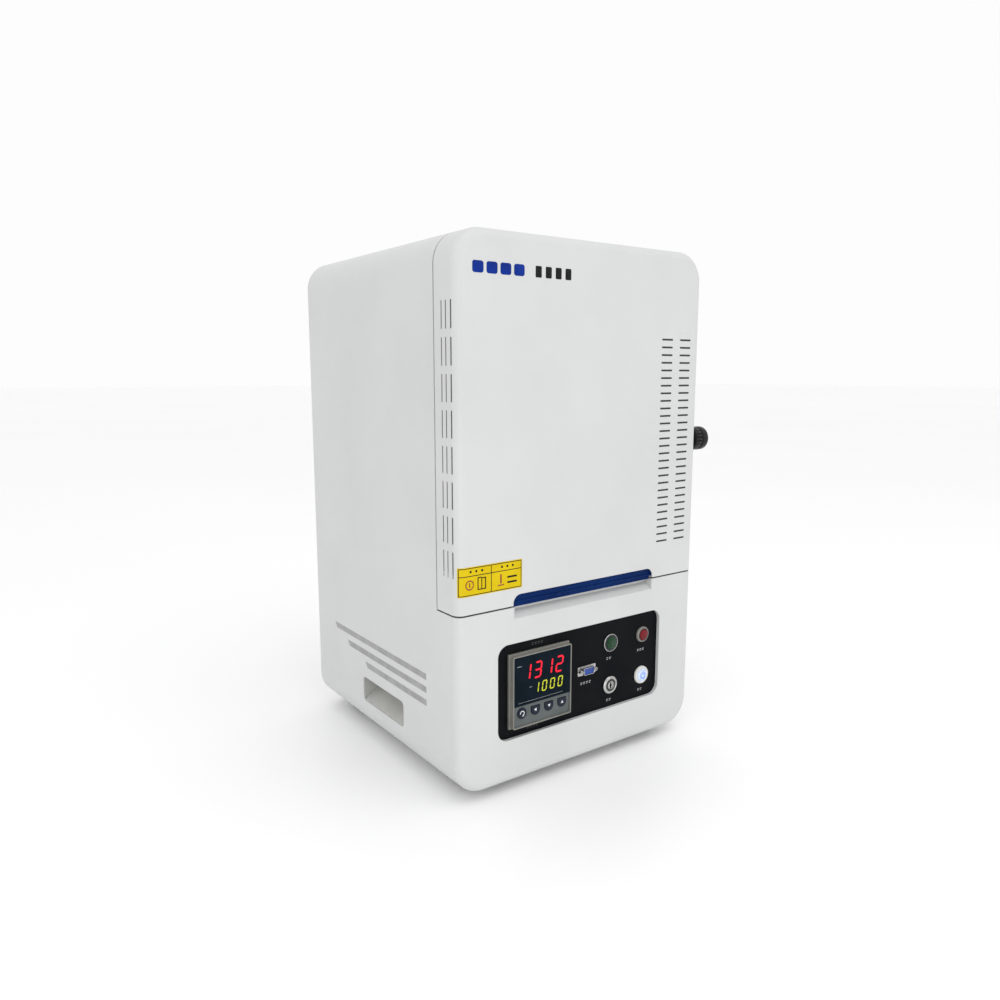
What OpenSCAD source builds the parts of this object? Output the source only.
// Compact bench-top kiln: a lab muffle furnace with a side-hung chamber door over a control base.
// Millimetres. Origin: centre of the footprint on the standing plane. +X right, -Y front, +Z up.

/* [Cabinet] */
// Width of the cabinet
body_w = 400; // [396:1:410]
// Depth of the cabinet, front face to back panel
body_d = 400; // [396:1:410]
// Height of the cabinet without its feet
body_h = 665; // [660:1:672]
// Radius of the four long corners, seen from the front
corner_r = 39; // [36:1:42]
// Rounding of the front edges
front_r = 11; // [10:1:13]
// Thickness of the cabinet and door sheet
sheet_t = 1.5; // [1.2:0.1:1.6]
// Height of the rubber feet
foot_h = 12; // [10:1:16]

/* [Door] */
// Height of the door's lower edge above the floor
door_z = 240; // [238:1:242]
// Depth of the door's flanges
door_d = 43; // [42:0.5:44]
// Gap between the door and the cabinet
door_gap = 2; // [1.8:0.1:2.5]
// Distance of the hinge axis from the left flank
hinge_in = 10; // [9.5:0.5:10.5]
// Distance of the hinge axis ahead of the door's rear plane
hinge_ahead = 30; // [29.5:0.5:30.5]
// Half the width of the grip notch
grip_half = 119; // [115:1:122]
// Height of the latch axis above the floor
latch_z = 426; // [420:1:430]

/* [Chamber] */
// Width and height of the heated chamber
chamber_w = 180; // [176:1:184]
// Depth of the heated chamber behind the mouth
chamber_d = 200; // [190:1:205]
// Width and height of the mouth
mouth_w = 190; // [189:0.5:192]
// Depth of the mouth that the plug fills
mouth_d = 38; // [37:1:40]
// Number of heating coils on each side
coil_rows = 5; // [4:1:6]

/* [Control panel] */
// Half the width of the panel opening
panel_half = 139; // [138:0.5:140]
// Lower edge of the panel opening above the floor
panel_z0 = 69.5; // [68:0.5:72]
// Upper edge of the panel opening above the floor
panel_z1 = 192.5; // [190:0.5:194]
// How far the panel sits behind the fascia
panel_in = 5; // [4:0.5:6]
// How far the panel opening is shifted to the right of the middle
panel_shift = -3; // [-4:0.5:-2]
// Width and height of the controller's flange
controller_w = 96; // [94:1:97]

/* [Hidden] */
$fn = 64;
half_w = body_w / 2;
half_d = body_d / 2;
z0 = foot_h;
z1 = foot_h + body_h;
zc = (z0 + z1) / 2;
seam_y = -half_d + door_d;
front_plate_y = seam_y + door_gap;
chamber_z = (door_z + z1) / 2;
fascia_top = door_z - door_gap;
deck_z = fascia_top - 1.5;
scoop = 14;
hinge_x = -half_w + hinge_in;
hinge_y = seam_y - hinge_ahead;
hinge_heights = [door_z + 62, z1 - 79];
arm_t = 8;
pin_r = 3;
ear_t = 5;
latch_y = -half_d + 19;
keeper_y = latch_y + 36;
keeper_r = 3;
shaft_r = 9;
knob_r = 16.5;
hook_x = 181;
slot_z0 = latch_z - 18.5;
slot_z1 = latch_z + 40;
panel_y = -half_d + panel_in;
panel_t = 2.5;
controller = [-76, 130];
port = [5, 130.6];
start_at = [46.5, 160];
stop_at = [107, 160];
keylock_at = [47, 100.5];
power_at = [106.5, 101.5];
ring_r = 12.5;
bezel_y = panel_y - 10;
bezel_open = 42;
face_w = 90.4;
key_pitch = 21.4;
key_z = controller[1] - 28.3;
key_r = 6.8;
key_rise = 5;
slant = 0.12;
grip_z0 = 57;
grip_z1 = 92;
grip_y = -10;
grip_len = 116;
grip_deep = 30;
grip_rise = 20;
casing_half = 147;
fibre_half = 145;
board_gap = 0.3;
fibre_y0 = front_plate_y + 2;
fibre_y1 = fibre_y0 + mouth_d + chamber_d + 52;
chamber_y0 = fibre_y0 + mouth_d;
chamber_y1 = chamber_y0 + chamber_d;
coil_r = 4.5;
groove_r = 6;
coil_pitch = 27;
link_y = chamber_y1 - 14;
tail_x = chamber_w / 2 + 10;
core_x0 = -141;
core_x1 = 143;
core_z0 = chamber_z - 188;
core_z1 = chamber_z + 188;
core_y0 = -half_d + 4.2;
plate_y = seam_y - 1.5;
floor_z = z0 + sheet_t + 2;
foot_places = [for (x = [-148, 148], y = [-150, 150]) [x, y]];
screw_places = concat(
  [for (x = [-130, 0, 130], z = [z0 + 10, z1 - 10]) [x, z]],
  [for (z = [140, 260, 430, 590], side = [-1, 1]) [side * (half_w - 10), z]]
);
fan_at = [-80, 130];
inlet_at = [96, 92];
exhaust_at = [62, chamber_z + 62];
stub_r = 15;
slot_rows = 28;
slot_pitch = 10.07;
slot_low_z = 289.6;
flank_groups = 8;
flank_pitch = 40.35;
flank_low_z = 299.5;
flank_slot = 31.5;

// ---------- shared shapes ----------

// Rounded rectangle centred on the origin, from plain squares and circles
module round_rect(w, h, r) {
  square([w - 2 * r, h], center = true);
  square([w, h - 2 * r], center = true);
  for (sx = [-1, 1], sz = [-1, 1])
    translate([sx * (w / 2 - r), sz * (h / 2 - r)]) circle(r);
}

// A 2D outline in X and Z, extruded towards the rear from y0 to y1
module along_y(y0, y1) {
  translate([0, y1, 0]) rotate([90, 0, 0]) linear_extrude(height = y1 - y0) children();
}

// A box from its lowest and highest corners
module box(lo, hi) {
  translate(lo) cube(hi - lo);
}

// Cylinder along Y from y0 to y1, centred on x and z
module y_cyl(x, z, r, y0, y1) {
  translate([x, y0, z]) rotate([-90, 0, 0]) cylinder(r = r, h = y1 - y0);
}

// Cylinder along X from x0 to x1, centred on y and z
module x_cyl(y, z, r, x0, x1) {
  translate([x0, y, z]) rotate([0, 90, 0]) cylinder(r = r, h = x1 - x0);
}

// Half of the section through a filleted front edge: reach from the centre, depth from the front
module edge_section(reach, depth, fillet) {
  translate([0, fillet]) square([reach, depth - fillet]);
  square([reach - fillet, depth]);
  translate([reach - fillet, fillet]) circle(fillet);
}

// Quarter of a round corner whose front edge is filleted, about the axis that runs to the rear
module soft_corner(r, depth, fillet) {
  rotate([-90, 0, 0]) rotate_extrude(angle = 90) intersection() {
    edge_section(r, depth, fillet);
    square([r, depth]);
  }
}

// Block with four round long corners and a filleted front edge, front face at y = 0
module soft_block(w, h, depth, r, fillet) {
  x_half = w / 2 - r;
  z_half = h / 2 - r;
  translate([0, 0, -z_half]) linear_extrude(height = 2 * z_half) side_section(w / 2, depth, fillet);
  translate([-x_half, 0, 0]) rotate([90, 0, 90]) linear_extrude(height = 2 * x_half)
    rotate(90) mirror([0, 1]) side_section(h / 2, depth, fillet);
  for (turn = [0 : 3]) {
    cx = (turn == 0 || turn == 3) ? x_half : -x_half;
    cz = (turn < 2) ? -z_half : z_half;
    translate([cx, 0, cz]) rotate([0, turn * 90, 0]) soft_corner(r, depth, fillet);
  }
}

// Full section with both front edges filleted
module side_section(reach, depth, fillet) {
  translate([-reach, fillet]) square([2 * reach, depth - fillet]);
  translate([fillet - reach, 0]) square([2 * (reach - fillet), fillet + 1]);
  for (side = [-1, 1])
    translate([side * (reach - fillet), fillet]) circle(fillet);
}

// The cabinet's outer form, shrunk by an offset on every side
module body_form(inset, y_end) {
  translate([0, -half_d + inset, zc])
    soft_block(
      body_w - 2 * inset, body_h - 2 * inset, y_end + half_d - inset, corner_r - inset, front_r - inset
    );
}

// Rounded slot in the plane of X and Z
module stadium(len, wide) {
  square([len - wide, wide], center = true);
  for (side = [-1, 1])
    translate([side * (len - wide) / 2, 0]) circle(d = wide);
}

// Holes for the back panel's screws
module screw_holes() {
  for (p = screw_places)
    y_cyl(p[0], p[1], 1.55, half_d - 4, half_d + 1);
}

// Holes for the studs of the feet
module foot_holes() {
  for (p = foot_places)
    translate([p[0], p[1], z0 - 1]) cylinder(r = 4.05, h = 8);
}

// ---------- cabinet ----------

// Opening of the carrying grip in a flank, as a solid along X
module grip_opening(x0, x1, extra) {
  translate([x0, grip_y, (grip_z0 + grip_z1) / 2]) rotate([90, 0, 90]) linear_extrude(height = x1 - x0)
    round_rect(grip_len + 2 * extra, grip_z1 - grip_z0 + 2 * extra, 6 + extra);
}

module panel_outline(extra) {
  translate([panel_shift, (panel_z0 + panel_z1) / 2])
    round_rect(2 * (panel_half + extra), panel_z1 - panel_z0 + 2 * extra, 15 + extra);
}

module cabinet_shell() {
  rear_lip = 14;
  color("gainsboro") {
    difference() {
      body_form(0, half_d - sheet_t);
      difference() {
        body_form(sheet_t, half_d - 2 * sheet_t);
        box([-half_w, -half_d, deck_z], [half_w, front_plate_y, fascia_top]);
      }
      box([-half_w - 1, -half_d - 1, fascia_top], [half_w + 1, front_plate_y, z1 + 1]);
      along_y(half_d - 2 * sheet_t - 1, half_d)
        translate([0, zc]) round_rect(body_w - 2 * rear_lip, body_h - 2 * rear_lip, corner_r - rear_lip);
      along_y(-half_d - 1, -half_d + sheet_t + 1) panel_outline(0);
      grip_opening(-half_w - 1, -half_w + sheet_t + 1, 0);
      grip_opening(half_w - sheet_t - 1, half_w + 1, 0);
      box([-grip_half, -half_d - 1, fascia_top - scoop], [grip_half, -half_d + scoop, fascia_top + 1]);
      screw_holes();
      foot_holes();
    }
    along_y(-half_d + sheet_t, panel_y) difference() {
      panel_outline(sheet_t);
      panel_outline(0);
    }
  }
}

module finger_scoop() {
  // Sloped tray with a riser at its rear and a cheek at each end
  wall = 1.5;
  front = -half_d;
  rear = front + scoop;
  low = fascia_top - scoop;
  color("whitesmoke") {
    translate([-grip_half, 0, 0]) rotate([90, 0, 90]) linear_extrude(height = 2 * grip_half)
      polygon([
        [front, low], [rear - wall, low + 8], [rear - wall, fascia_top], [rear, fascia_top],
        [rear, low + 7], [front + wall, low - 1.2], [front + wall, low]
      ]);
    for (x = [-grip_half, grip_half - wall])
      translate([x, 0, 0]) rotate([90, 0, 90]) linear_extrude(height = wall)
        polygon([[front, low], [rear, low + 8], [rear, fascia_top], [front, fascia_top]]);
  }
}

module base_plate() {
  color("silver") difference() {
    box([-158, -half_d + 16, z0 + sheet_t], [158, half_d - 5, z0 + sheet_t + 2]);
    for (x = [-100 : 20 : 100])
      translate([x, -95, z0]) linear_extrude(height = 5) rotate(90) stadium(60, 5);
    foot_holes();
  }
}

module feet() {
  // Rubber feet, each moulded on a stud with a blind threaded socket from below
  color("dimgray") for (p = foot_places)
    translate([p[0], p[1], 0]) difference() {
      union() {
        cylinder(r = 19, h = foot_h);
        translate([0, 0, foot_h]) cylinder(r = 4, h = sheet_t + 6);
      }
      translate([0, 0, -1]) cylinder(r = 2.6, h = 12);
    }
}

module deck_plate() {
  color("silver") difference() {
    box([-half_w + sheet_t, front_plate_y, deck_z], [half_w - sheet_t, half_d - 4, fascia_top]);
    for (x = [-150 : 30 : 150])
      translate([x, 165, deck_z - 1]) cylinder(r = 7, h = 4);
  }
}

module front_plate() {
  color("lightgray") difference() {
    along_y(front_plate_y, front_plate_y + 2) difference() {
      translate([0, zc])
        round_rect(body_w - 2 * sheet_t - 0.4, body_h - 2 * sheet_t - 0.4, corner_r - sheet_t);
      translate([-half_w, 0]) square([body_w, fascia_top]);
      translate([0, chamber_z]) round_rect(mouth_w + 2, mouth_w + 2, 3);
    }
    for (z = hinge_heights)
      box([hinge_x + 34.9, front_plate_y - 1, z - arm_t / 2 - 0.1],
        [hinge_x + 41.1, front_plate_y + 3, z + arm_t / 2 + 0.1]);
    box([hook_x - 7, front_plate_y - 1, slot_z0], [hook_x + 7, front_plate_y + 3, slot_z1]);
  }
}

module back_panel() {
  color("gainsboro") difference() {
    along_y(half_d - sheet_t, half_d) translate([0, zc]) round_rect(body_w - 8, body_h - 8, corner_r - 4);
    along_y(half_d - 3, half_d + 1) {
      for (row = [0 : 7], side = [-1, 1])
        translate([side * 95, chamber_z + 92 + row * 11]) stadium(110, 4);
      for (row = [0 : 5])
        translate([60, 178 + row * 9]) stadium(120, 4);
      translate(inlet_at) square([33, 25], center = true);
    }
    y_cyl(fan_at[0], fan_at[1], 37, half_d - 3, half_d + 1);
    y_cyl(exhaust_at[0], exhaust_at[1], stub_r - 0.95, half_d - 3, half_d + 1);
    y_cyl(150, 55, 3.05, half_d - 3, half_d + 1);
    screw_holes();
  }
}

module support_rails() {
  // Two hat rails that carry the inner casing on the deck
  top = chamber_z - casing_half;
  color("silver") for (side = [-1, 1])
    translate([side * 105, 0, 0]) {
      box([-15, fibre_y0 + 6, top - 2], [15, fibre_y1, top]);
      for (flank = [-1, 1]) {
        box([flank * 14 - 1, fibre_y0 + 6, fascia_top], [flank * 14 + 1, fibre_y1, top - 2]);
        box([flank * 20 - 6, fibre_y0 + 6, fascia_top], [flank * 20 + 6, fibre_y1, fascia_top + 2]);
      }
    }
}

module inner_casing() {
  color("silver") difference() {
    box([-casing_half, fibre_y0, chamber_z - casing_half],
      [casing_half, fibre_y1 + 2, chamber_z + casing_half]);
    box([-fibre_half, fibre_y0 - 1, chamber_z - fibre_half],
      [fibre_half, fibre_y1, chamber_z + fibre_half]);
    for (side = [-1, 1], end = [-1, 1])
      y_cyl(side * tail_x, chamber_z + end * coil_pitch * (coil_rows - 1) / 2, 5, fibre_y1 - 1, fibre_y1 + 3);
    y_cyl(0, chamber_z + 52, 6, fibre_y1 - 1, fibre_y1 + 3);
    y_cyl(exhaust_at[0], exhaust_at[1], 9, fibre_y1 - 1, fibre_y1 + 3);
  }
}

function coil_z(row) = chamber_z + (row - (coil_rows - 1) / 2) * coil_pitch;

// Four boards round a square opening: floor and roof at full width, and the sides between them
module board_ring(inner, y0, y1) {
  for (side = [-1, 1]) {
    low = min(side * inner, side * fibre_half);
    high = max(side * inner, side * fibre_half);
    box([-fibre_half, y0, chamber_z + low], [fibre_half, y1, chamber_z + high]);
    box([low, y0, chamber_z - inner + board_gap], [high, y1, chamber_z + inner - board_gap]);
  }
}

module chamber_block() {
  // Fibre boards: a ring round the mouth, a ring round the chamber with grooved sides, and the rear
  half = chamber_w / 2;
  color("white") difference() {
    union() {
      board_ring(mouth_w / 2, fibre_y0, chamber_y0);
      board_ring(half, chamber_y0 + board_gap, fibre_y1);
      box([-half + board_gap, chamber_y1, chamber_z - half + board_gap],
        [half - board_gap, fibre_y1, chamber_z + half - board_gap]);
    }
    for (side = [-1, 1]) {
      for (row = [0 : coil_rows - 1])
        y_cyl(side * half, coil_z(row), groove_r, chamber_y0 + 8, chamber_y1 - 8);
      for (row = [0, coil_rows - 1]) {
        y_cyl(side * tail_x, coil_z(row), 3, link_y - 4, fibre_y1 + 1);
        x_cyl(link_y, coil_z(row), 3, side * tail_x - (side > 0 ? 14 : 1),
          side * tail_x + (side > 0 ? 1 : 14));
      }
    }
    y_cyl(0, chamber_z + 52, 3.6, chamber_y1 - 1, fibre_y1 + 1);
    y_cyl(exhaust_at[0], exhaust_at[1], 8.1, chamber_y1 - 1, fibre_y1 + 1);
  }
}

module hearth_plate() {
  color("slategray") box([-84, chamber_y0 + 6, chamber_z - chamber_w / 2],
    [84, chamber_y1 - 6, chamber_z - chamber_w / 2 + 10]);
}

module heating_elements() {
  // Each side: rods of the coil's envelope in their grooves, joined in series, with two tails to the rear
  front = chamber_y0 + 12;
  rear = chamber_y1 - 12;
  inset = 2;
  color("dimgray") for (side = [-1, 1]) {
    x = side * chamber_w / 2;
    for (row = [0 : coil_rows - 1])
      y_cyl(x, coil_z(row), coil_r, front, rear);
    for (row = [0 : coil_rows - 2])
      translate([x - side * inset, row % 2 == 0 ? front + 2 : rear - 6, coil_z(row)])
        cylinder(r = 1.5, h = coil_pitch);
    for (row = [0, coil_rows - 1]) {
      x_cyl(link_y, coil_z(row), 1.5, min(x, side * tail_x), max(x, side * tail_x));
      y_cyl(side * tail_x, coil_z(row), 2, link_y - 3, fibre_y1 + 28);
    }
  }
}

module heater_terminals() {
  // Ceramic post round each tail
  color("wheat") for (side = [-1, 1], row = [0, coil_rows - 1])
    difference() {
      y_cyl(side * tail_x, coil_z(row), 11, fibre_y1 + 2, fibre_y1 + 24);
      y_cyl(side * tail_x, coil_z(row), 2, fibre_y1 + 1, fibre_y1 + 25);
    }
}

module thermocouple() {
  color("beige") {
    y_cyl(0, chamber_z + 52, 3, chamber_y1 - 28, fibre_y1 + 4);
    y_cyl(0, chamber_z + 52, 9, fibre_y1 + 2, fibre_y1 + 5);
    box([-14, fibre_y1 + 5, chamber_z + 41], [14, fibre_y1 + 21, chamber_z + 63]);
  }
}

module exhaust_sleeve() {
  color("silver") difference() {
    union() {
      y_cyl(exhaust_at[0], exhaust_at[1], 8, chamber_y1 + 2, half_d - 16);
      y_cyl(exhaust_at[0], exhaust_at[1], stub_r - 1, half_d - 18, half_d + 1);
      y_cyl(exhaust_at[0], exhaust_at[1], stub_r + 6, half_d, half_d + 2);
      y_cyl(exhaust_at[0], exhaust_at[1], stub_r, half_d + 2, half_d + 14);
    }
    y_cyl(exhaust_at[0], exhaust_at[1], 6, chamber_y1 + 1, half_d + 15);
  }
}

module hinge_arms() {
  // Fixed goosenecks: knuckle on the pin, run to the right, then back through the front plate to the foot
  run = 38;
  half_t = 2.5;
  color("lightgray") for (z = hinge_heights)
    translate([0, 0, z - arm_t / 2]) difference() {
      union() {
        translate([hinge_x, hinge_y, 0]) cylinder(r = 6.5, h = arm_t);
        box([hinge_x, hinge_y - half_t, 0], [hinge_x + run, hinge_y + half_t, arm_t]);
        translate([hinge_x + run, hinge_y, 0]) cylinder(r = half_t, h = arm_t);
        box([hinge_x + run - half_t, hinge_y, 0], [hinge_x + run + half_t, front_plate_y + 3, arm_t]);
        box([hinge_x - 1, front_plate_y + 2, -8], [hinge_x + run + half_t, front_plate_y + 5, arm_t + 8]);
      }
      translate([hinge_x, hinge_y, -1]) cylinder(r = pin_r + 0.05, h = arm_t + 2);
    }
}

module latch_keeper() {
  color("silver") {
    for (side = [-1, 1])
      box([hook_x + side * 10 - 1.5, front_plate_y + 2, latch_z - 9],
        [hook_x + side * 10 + 1.5, keeper_y + 6, latch_z + 9]);
    x_cyl(keeper_y, latch_z, keeper_r, hook_x - 10, hook_x + 10);
    box([hook_x + 8, front_plate_y + 2, latch_z - 22], [hook_x + 15, front_plate_y + 4, latch_z + 22]);
    box([hook_x - 22, front_plate_y + 2, latch_z - 22], [hook_x - 8, front_plate_y + 4, latch_z + 22]);
  }
}

// Recessed carrying grip: a thin cup whose lower part is a sloping scoop
module grip_cup(side) {
  wall = 2;
  mirror([side < 0 ? 0 : 1, 0, 0]) color("lightgray") difference() {
    union() {
      box([-half_w + sheet_t, grip_y - grip_len / 2 - wall, grip_z0 - wall],
        [-half_w + grip_deep + wall, grip_y + grip_len / 2 + wall, grip_z1 + wall]);
      box([-half_w + sheet_t, grip_y - grip_len / 2 - 9, grip_z0 - 5],
        [-half_w + 2 * sheet_t, grip_y + grip_len / 2 + 9, grip_z1 + 9]);
    }
    translate([0, grip_y + grip_len / 2, 0]) rotate([90, 0, 0]) linear_extrude(height = grip_len)
      polygon([
        [-half_w, grip_z0], [-half_w + grip_deep, grip_z0 + grip_rise], [-half_w + grip_deep, grip_z1],
        [-half_w, grip_z1]
      ]);
    translate([0, grip_y + grip_len / 2 + 3, 0]) rotate([90, 0, 0]) linear_extrude(height = grip_len + 6)
      polygon([
        [-half_w + 6, grip_z0 - 3], [-half_w + grip_deep + 3, grip_z0 - 3],
        [-half_w + grip_deep + 3, grip_z0 + grip_rise - 4],
        [-half_w + grip_deep - 1, grip_z0 + grip_rise - 3.5]
      ]);
  }
}

module grip_cup_left() {
  grip_cup(-1);
}

module grip_cup_right() {
  grip_cup(1);
}

// ---------- control panel ----------

module control_panel() {
  color("black") difference() {
    along_y(panel_y, panel_y + panel_t) panel_outline(3);
    box([controller[0] - 46, panel_y - 1, controller[1] - 46],
      [controller[0] + 46, panel_y + 4, controller[1] + 46]);
    box([port[0] - 12, panel_y - 1, port[1] - 5.5], [port[0] + 12, panel_y + 4, port[1] + 5.5]);
    for (p = [start_at, stop_at, keylock_at, power_at])
      y_cyl(p[0], p[1], 9.5, panel_y - 1, panel_y + 4);
    for (side = [-1, 1])
      y_cyl(port[0] + side * 12.5, port[1], 1.6, panel_y - 1, panel_y + 4);
  }
}

module controller_housing() {
  color("dimgray") difference() {
    box([controller[0] - 45.5, panel_y, controller[1] - 45.5],
      [controller[0] + 45.5, panel_y + 78, controller[1] + 45.5]);
    box([controller[0] - 43.5, panel_y - 1, controller[1] - 43.5],
      [controller[0] + 43.5, panel_y + 74, controller[1] + 43.5]);
  }
}

module controller_bezel() {
  color("darkgray") difference() {
    union() {
      translate([controller[0], 0, controller[1]]) {
        along_y(panel_y - 3, panel_y) square(controller_w, center = true);
        along_y(bezel_y, panel_y) round_rect(controller_w - 3, controller_w - 3, 2);
      }
    }
    translate([controller[0], 0, controller[1]]) along_y(bezel_y - 1, bezel_y + 2)
      round_rect(face_w, face_w, 1.5);
    box([controller[0] - bezel_open, bezel_y + 5, controller[1] - bezel_open],
      [controller[0] + bezel_open, panel_y + 1, controller[1] + bezel_open]);
    for (i = [0 : 3])
      translate([controller[0] + (i - 1.5) * key_pitch, 0, key_z])
        along_y(bezel_y, bezel_y + 6) key_outline(i, 0.3);
  }
}

module controller_window() {
  color("midnightblue") translate([controller[0], 0, controller[1] + 13.3])
    along_y(bezel_y + 0.8, bezel_y + 2) round_rect(face_w - 0.6, 63.2, 1);
}

// Leaning bar of a figure, from its lower left to its upper right corner
module segment(low, high) {
  polygon([
    [low[0] + slant * low[1], low[1]], [high[0] + slant * low[1], low[1]],
    [high[0] + slant * high[1], high[1]], [low[0] + slant * high[1], high[1]]
  ]);
}

// Seven-segment figure lying in X and Z; lit lists the segments a to g
module figure(h, lit) {
  w = h * 0.55;
  t = h * 0.13;
  slots = [
    [[0, h - t], [w, h]], [[w - t, h / 2], [w, h]], [[w - t, 0], [w, h / 2]], [[0, 0], [w, t]],
    [[0, 0], [t, h / 2]], [[0, h / 2], [t, h]], [[0, h / 2 - t / 2], [w, h / 2 + t / 2]]
  ];
  for (i = [0 : 6])
    if (lit[i] == 1) segment(slots[i][0], slots[i][1]);
}

LIT = [
  [1, 1, 1, 1, 1, 1, 0], [0, 1, 1, 0, 0, 0, 0], [1, 1, 0, 1, 1, 0, 1], [1, 1, 1, 1, 0, 0, 1]
];

// A reading of four figures
module reading(digits, x, z, h, pitch) {
  along_y(bezel_y + 0.5, bezel_y + 0.8)
    for (i = [0 : len(digits) - 1])
      translate([x + i * pitch, z]) figure(h, LIT[digits[i]]);
}

module digits_upper() {
  color("red") reading([1, 3, 1, 2], controller[0] - 32.2, controller[1] + 13, 21.5, 17.3);
}

module digits_lower() {
  color("yellowgreen") reading([1, 0, 0, 0], controller[0] - 14.8, controller[1] - 6.5, 14, 12.8);
}

// Outline of a key: the first is round, the others have a flat top over a round lower half
module key_outline(i, grow) {
  reach = key_r + grow;
  if (i == 0)
    circle(reach);
  else {
    translate([-reach, 0]) square([2 * reach, key_rise + grow]);
    intersection() {
      circle(reach);
      translate([-reach, -reach]) square([2 * reach, reach]);
    }
  }
}

module controller_key(i) {
  color("dimgray") {
    translate([controller[0] + (i - 1.5) * key_pitch, 0, key_z]) {
      along_y(bezel_y + 0.8, bezel_y + 5.5) key_outline(i, 0);
      along_y(bezel_y + 5.5, bezel_y + 6.8) square(2 * key_r + 2.4, center = true);
    }
  }
}

module key_cycle() {
  controller_key(0);
}

module key_left() {
  controller_key(1);
}

module key_down() {
  controller_key(2);
}

module key_up() {
  controller_key(3);
}

module button_rings() {
  // Chromed ring of each round control, with a threaded barrel through the panel
  color("silver") for (p = [start_at, stop_at, keylock_at, power_at]) {
    rim = p == stop_at ? ring_r - 1.6 : ring_r;
    difference() {
      union() {
        translate([p[0], panel_y - 3.5, p[1]]) rotate([-90, 0, 0]) rotate_extrude()
          polygon([[0, 0], [rim - 1.6, 0], [rim - 0.3, 0.9], [rim, 1.6], [rim, 3.5], [0, 3.5]]);
        y_cyl(p[0], p[1], 9.4, panel_y, panel_y + 14);
      }
      y_cyl(p[0], p[1], 8.6, panel_y - 5, panel_y + 15);
    }
  }
}

module switch_bodies() {
  color("darkslategray") for (p = [start_at, stop_at, keylock_at, power_at])
    box([p[0] - 13, panel_y + 14, p[1] - 13], [p[0] + 13, panel_y + 40, p[1] + 13]);
}

module push_button(p, tint, lens_r) {
  color(tint) translate([p[0], panel_y - 3.5, p[1]]) rotate([-90, 0, 0]) rotate_extrude()
    polygon([[0, -1.4], [lens_r - 2.5, -1.2], [lens_r - 0.4, -0.4], [lens_r, 0.4], [lens_r, 12], [0, 12]]);
}

module start_button() {
  push_button(start_at, "seagreen", 8.5);
}

module stop_button() {
  push_button(stop_at, "firebrick", 8.5);
}

module power_button() {
  push_button(power_at, "aliceblue", 8.5);
}

module key_barrel() {
  // Rotor of the key switch, with the keyway upright
  color("silver") difference() {
    y_cyl(keylock_at[0], keylock_at[1], 8.54, panel_y - 3, panel_y + 12);
    box([keylock_at[0] - 1.1, panel_y - 4, keylock_at[1] - 4.5],
      [keylock_at[0] + 1.1, panel_y + 9, keylock_at[1] + 4.5]);
    y_cyl(keylock_at[0], keylock_at[1], 2, panel_y - 4, panel_y + 9);
  }
}

// D-shaped outline of a nine-pole port
module port_outline(grow) {
  polygon([
    [-8.9 - grow, 4.2 + grow], [8.9 + grow, 4.2 + grow], [7.5 + grow, -4.2 - grow], [-7.5 - grow, -4.2 - grow]
  ]);
}

module port_shell() {
  color("silver") difference() {
    union() {
      translate([port[0], 0, port[1]]) along_y(panel_y - 6, panel_y + 10) port_outline(0.6);
      translate([port[0], 0, port[1]]) along_y(panel_y - 0.8, panel_y) round_rect(31, 12.5, 1.5);
    }
    translate([port[0], 0, port[1]]) along_y(panel_y - 7, panel_y + 11) port_outline(0);
    for (side = [-1, 1])
      y_cyl(port[0] + side * 12.5, port[1], 1.5, panel_y - 2, panel_y + 1);
  }
}

module port_insert() {
  color("royalblue") difference() {
    translate([port[0], 0, port[1]]) along_y(panel_y - 4.5, panel_y + 10) port_outline(0);
    for (i = [0 : 8]) {
      row = i < 5 ? 1 : -1;
      x = row > 0 ? (i - 2) * 2.76 : (i - 6.5) * 2.76;
      y_cyl(port[0] + x, port[1] + row * 1.42, 0.6, panel_y - 5, panel_y + 4);
    }
  }
}

module port_jackposts() {
  color("silver") for (side = [-1, 1])
    difference() {
      union() {
        translate([port[0] + side * 12.5, panel_y - 5.6, port[1]]) rotate([-90, 0, 0])
          cylinder(r = 2.6, h = 4.8, $fn = 6);
        y_cyl(port[0] + side * 12.5, port[1], 1.5, panel_y - 1, panel_y + 5);
      }
      y_cyl(port[0] + side * 12.5, port[1], 1.1, panel_y - 6, panel_y - 1.5);
    }
}

// ---------- electrics ----------

module relay_heat_sink() {
  // Finned block: base, fins and top plate
  color("lightgray") translate([-60, 20, floor_z]) {
    cube([90, 100, 5]);
    for (i = [0 : 9])
      translate([i * 9.7, 0, 5]) cube([2.7, 100, 30]);
    translate([0, 0, 35]) cube([90, 100, 5]);
  }
}

module solid_state_relay() {
  color("black") translate([-40, 42, floor_z + 40]) difference() {
    cube([45, 58, 23]);
    for (x = [0, 45], y = [8, 50])
      translate([x, y, 13]) cylinder(r = 6, h = 12);
  }
}

module contactor() {
  color("dimgray") translate([-150, 40, floor_z]) {
    cube([45, 70, 57]);
    translate([6, 6, 57]) cube([33, 58, 23]);
  }
}

module terminal_strip() {
  color("whitesmoke") translate([45, 120, floor_z]) difference() {
    cube([90, 28, 26]);
    for (i = [0 : 7])
      translate([6 + i * 11.2, 14, 16]) cylinder(r = 3.2, h = 12);
  }
}

module fan_frame() {
  color("dimgray") difference() {
    box([fan_at[0] - 40, half_d - 27, fan_at[1] - 40],
      [fan_at[0] + 40, half_d - 2 * sheet_t - 0.2, fan_at[1] + 40]);
    difference() {
      y_cyl(fan_at[0], fan_at[1], 37.5, half_d - 28, half_d);
      union() {
        y_cyl(fan_at[0], fan_at[1], 16, half_d - 27, half_d - 24);
        for (turn = [0 : 3])
          translate([fan_at[0], half_d - 25.5, fan_at[1]]) rotate([0, 45 + turn * 90, 0])
            translate([0, -1.5, -3]) cube([38, 3, 6]);
      }
    }
  }
}

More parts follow.
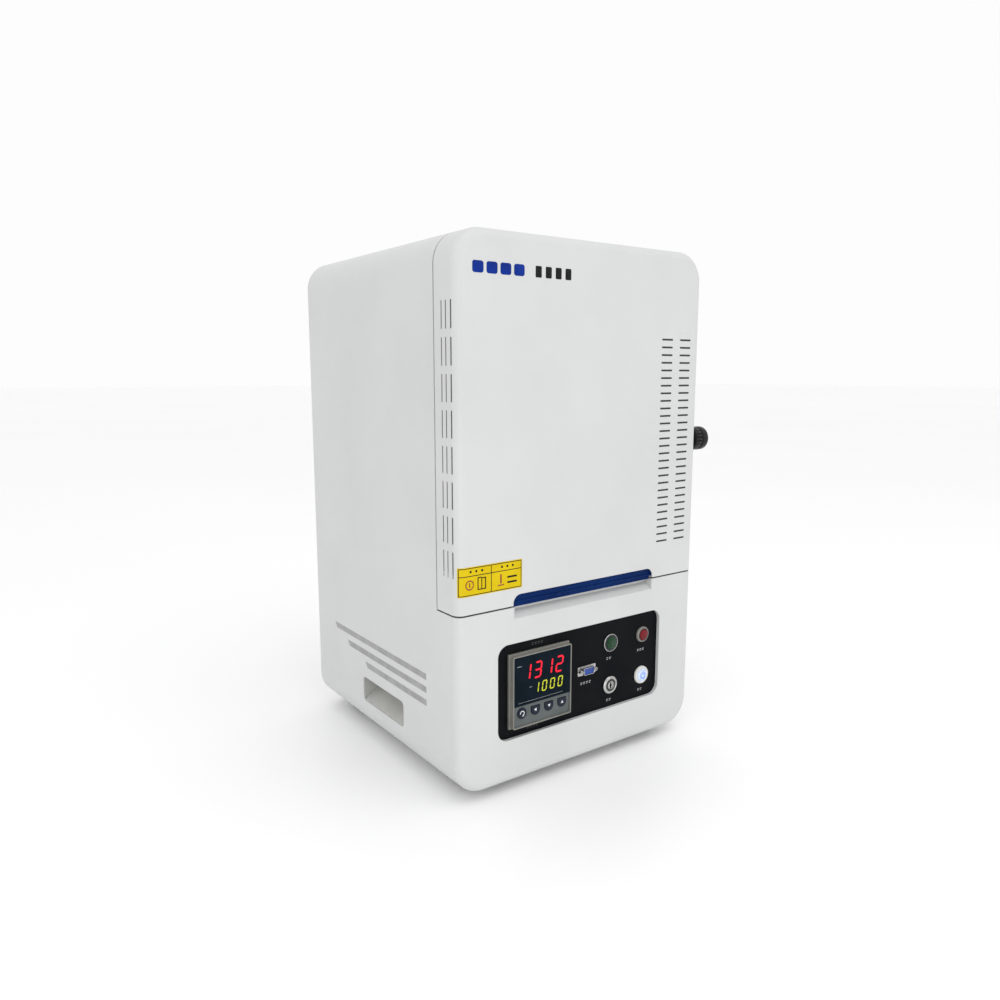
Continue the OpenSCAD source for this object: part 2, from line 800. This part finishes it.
module fan_rotor() {
  // Hub with seven pitched blades
  color("black") translate([fan_at[0], half_d - 13, fan_at[1]]) {
    rotate([90, 0, 0]) translate([0, 0, -8]) cylinder(r = 15, h = 18);
    for (i = [0 : 6])
      rotate([0, i * 360 / 7, 0]) rotate([38, 0, 0]) translate([13, -8, -0.8]) cube([21.5, 16, 1.6]);
  }
}

module fan_guard() {
  // Flat-wire finger guard: three rings with a cross welded on
  wire = 2;
  color("silver") {
    translate([fan_at[0], 0, fan_at[1]]) along_y(half_d, half_d + wire)
      for (r = [13, 24, 35]) difference() {
        circle(r + wire / 2);
        circle(r - wire / 2);
      }
    for (turn = [0 : 3])
      translate([fan_at[0], half_d + wire, fan_at[1]]) rotate([0, 45 * turn, 0])
        translate([turn % 2 == 0 ? -39 : 1.5, 0, -wire / 2]) cube([turn % 2 == 0 ? 78 : 37.5, 1.6, wire]);
  }
}

module power_inlet() {
  color("black") difference() {
    union() {
      translate([inlet_at[0], 0, inlet_at[1]]) along_y(half_d, half_d + 2.5) round_rect(50, 30, 4);
      box([inlet_at[0] - 16, half_d - 24, inlet_at[1] - 12],
        [inlet_at[0] + 16, half_d + 1, inlet_at[1] + 12]);
    }
    box([inlet_at[0] - 14, half_d - 18, inlet_at[1] - 9.5],
      [inlet_at[0] + 14, half_d + 3, inlet_at[1] + 9.5]);
  }
  color("silver") for (p = [[-7, 2], [0, -3], [7, 2]])
    translate([inlet_at[0] + p[0], half_d - 18, inlet_at[1] + p[1]]) translate([-1, 0, -2.5])
      cube([2, 12, 5]);
}

module earth_stud() {
  color("goldenrod") {
    y_cyl(150, 55, 3, half_d - 14, half_d + 14);
    translate([150, half_d, 55]) rotate([-90, 0, 0]) cylinder(r = 6.4, h = 4, $fn = 6);
    translate([150, half_d - 6.5, 55]) rotate([-90, 0, 0]) cylinder(r = 6.4, h = 4, $fn = 6);
  }
}

module cabinet_screws() {
  // Pan-head screws round the back panel
  color("silver") for (p = screw_places) {
    translate([p[0], half_d + 2, p[1]]) rotate([90, 0, 0]) cylinder(r1 = 2.4, r2 = 3.8, h = 2);
    y_cyl(p[0], p[1], 1.5, half_d - 8, half_d);
  }
}

// ---------- door ----------

module door_skin() {
  color("gainsboro") difference() {
    intersection() {
      body_form(0, seam_y);
      box([-half_w - 1, -half_d - 1, door_z], [half_w + 1, seam_y, z1 + 1]);
    }
    intersection() {
      body_form(sheet_t, seam_y + 1);
      box([-half_w, -half_d, door_z + sheet_t], [half_w, seam_y + 1, z1]);
    }
    along_y(-half_d - 1, -half_d + 3) {
      for (x = [135, 169.5], row = [0 : slot_rows - 1])
        translate([x, slot_low_z + row * slot_pitch]) stadium(21, 2.4);
    }
    for (y = [8.5, 18.5, 27.5], group = [0 : flank_groups - 1])
      translate([-half_w - 1, -half_d + y, flank_low_z + group * flank_pitch])
        rotate([90, 0, 90]) linear_extrude(height = 4) rotate(90) stadium(flank_slot, 2);
    along_y(-half_d - 1, -half_d + 14) translate([0, door_z - 6.5]) round_rect(2 * grip_half, 40, 11);
    x_cyl(latch_y, latch_z, shaft_r + 0.1, half_w - 3, half_w + 1);
  }
}

module door_core_box() {
  // Inner box of the door, open to the rear, that holds the insulation board
  color("silver") difference() {
    box([core_x0, core_y0, core_z0], [core_x1, plate_y, core_z1]);
    box([core_x0 + 1, core_y0 + 1, core_z0 + 1], [core_x1 - 1, plate_y + 1, core_z1 - 1]);
  }
}

module door_inner_plate() {
  color("silver") difference() {
    along_y(plate_y, seam_y) difference() {
      translate([0, zc])
        round_rect(body_w - 2 * sheet_t - 0.4, body_h - 2 * sheet_t - 0.4, corner_r - sheet_t);
      translate([-half_w, 0]) square([body_w, door_z + sheet_t + 0.2]);
    }
    for (z = hinge_heights)
      box([hinge_x - 9, plate_y - 1, z - 11], [hinge_x + 45, seam_y + 1, z + 11]);
    box([hook_x - 7, plate_y - 1, slot_z0], [hook_x + 7, seam_y + 1, slot_z1]);
  }
}

module door_insulation() {
  color("white") box([core_x0 + 1, core_y0 + 1, core_z0 + 1], [core_x1 - 1, plate_y, core_z1 - 1]);
}

module door_plug() {
  // Tapered block that fills the mouth; its narrow face is the chamber's front wall
  base = mouth_w - 6;
  tip = mouth_w - 20;
  deep = 35;
  color("white") hull() {
    translate([-base / 2, seam_y, chamber_z - base / 2]) cube([base, 1, base]);
    translate([-tip / 2, seam_y + deep - 1, chamber_z - tip / 2]) cube([tip, 1, tip]);
  }
}

module door_seal() {
  color("ivory") translate([0, 0, chamber_z]) along_y(seam_y, seam_y + door_gap - 0.3) difference() {
    round_rect(mouth_w + 34, mouth_w + 34, 12);
    round_rect(mouth_w + 8, mouth_w + 8, 3);
  }
}

module door_grip() {
  // Blue strip behind the notch: a back wall with a rolled lip along its foot, and two end lugs
  color("darkblue") {
    box([-grip_half - 6, -half_d + 4.2, door_z + sheet_t], [grip_half + 6, -half_d + 6, door_z + 24]);
    x_cyl(-half_d + 4.6, door_z + 3.4, 1.9, -grip_half - 6, grip_half + 6);
    for (side = [-1, 1])
      box([side * (grip_half + 3) - 3, -half_d + sheet_t, door_z + 4],
        [side * (grip_half + 3) + 3, -half_d + 5, door_z + 22]);
  }
}

module hinge_ears() {
  // Door side of both hinges: two ears on a web that is welded to the core box
  reach = 6.5;
  color("lightgray") for (z = hinge_heights) difference() {
    union() {
      for (low = [z - arm_t / 2 - 0.3 - ear_t, z + arm_t / 2 + 0.3])
        translate([0, 0, low]) {
          translate([hinge_x, hinge_y, 0]) cylinder(r = reach, h = ear_t);
          box([hinge_x, hinge_y - reach, 0], [core_x0, hinge_y + reach, ear_t]);
        }
      box([core_x0 - 3.5, hinge_y - reach, z - 18], [core_x0, hinge_y + reach, z + 18]);
    }
    translate([hinge_x, hinge_y, z - 20]) cylinder(r = pin_r, h = 40);
  }
}

module hinge_pins() {
  color("silver") for (z = hinge_heights)
    translate([hinge_x, hinge_y, z - 14]) {
      cylinder(r = pin_r, h = 28);
      translate([0, 0, 28]) cylinder(r = 4.6, h = 1.6);
    }
}

module latch_block() {
  // Bearing block of the latch shaft, on the door's inner plate
  color("silver") difference() {
    box([half_w - 13.5, -half_d + 8, latch_z - 16], [half_w - 6, plate_y, latch_z + 16]);
    x_cyl(latch_y, latch_z, shaft_r + 0.05, half_w - 15, half_w - 5);
  }
}

module latch_shaft() {
  // Shaft through the right flank, with the flat hook on its inner end; the hook points up at rest
  color("silver") {
    x_cyl(latch_y, latch_z, shaft_r, half_w - 14, half_w + 13);
    x_cyl(latch_y, latch_z, 5, hook_x - 8, half_w - 14);
    hook();
  }
}

module latch_knob() {
  // Fluted grip, then a groove and a smooth end band
  color("black") {
    difference() {
      x_cyl(latch_y, latch_z, knob_r, half_w + 4, half_w + 16);
      for (turn = [0 : 19])
        translate([0, latch_y, latch_z]) rotate([turn * 18, 0, 0])
          x_cyl(knob_r + 0.8, 0, 1.6, half_w + 3, half_w + 15);
      x_cyl(latch_y, latch_z, shaft_r, half_w + 3, half_w + 13);
    }
    x_cyl(latch_y, latch_z, knob_r - 1.6, half_w + 16, half_w + 17.2);
    translate([half_w + 17.2, latch_y, latch_z]) rotate([0, 90, 0]) rotate_extrude()
      polygon([
        [0, 0], [knob_r - 0.6, 0], [knob_r, 0.6], [knob_r, 6.8], [knob_r - 0.6, 9.6], [knob_r - 2, 10.8],
        [0, 10.8]
      ]);
  }
}

// Flat hook in the plane of Y and Z: arm, bridge and claw round the keeper's radius
module hook() {
  reach = keeper_y - latch_y;
  slot_in = reach - keeper_r - 0.8;
  slot_out = reach + keeper_r + 0.8;
  translate([hook_x - 2.5, latch_y, latch_z]) rotate([90, 0, 90]) linear_extrude(height = 5) difference() {
    union() {
      circle(9);
      translate([-5, 0]) square([10, slot_out + 3]);
      intersection() {
        circle(slot_out + 5);
        translate([-12, slot_in - 12]) square([29, 30]);
      }
    }
    intersection() {
      difference() {
        circle(slot_out);
        circle(slot_in);
      }
      translate([-keeper_r - 0.6, 10]) square([40, 40]);
    }
    translate([5, 0]) square([14, slot_in - 6]);
  }
}

cabinet_shell();
finger_scoop();
base_plate();
feet();
deck_plate();
front_plate();
back_panel();
support_rails();
inner_casing();
chamber_block();
hearth_plate();
heating_elements();
heater_terminals();
thermocouple();
exhaust_sleeve();
hinge_arms();
latch_keeper();
grip_cup_left();
grip_cup_right();
control_panel();
controller_housing();
controller_bezel();
controller_window();
digits_upper();
digits_lower();
button_rings();
switch_bodies();
port_shell();
port_insert();
port_jackposts();
relay_heat_sink();
solid_state_relay();
contactor();
terminal_strip();
fan_frame();
fan_guard();
power_inlet();
earth_stud();
cabinet_screws();
fan_rotor();
key_cycle();
key_left();
key_down();
key_up();
start_button();
stop_button();
power_button();
key_barrel();
door_skin();
door_core_box();
door_inner_plate();
door_insulation();
door_plug();
door_seal();
door_grip();
hinge_ears();
hinge_pins();
latch_block();
latch_shaft();
latch_knob();
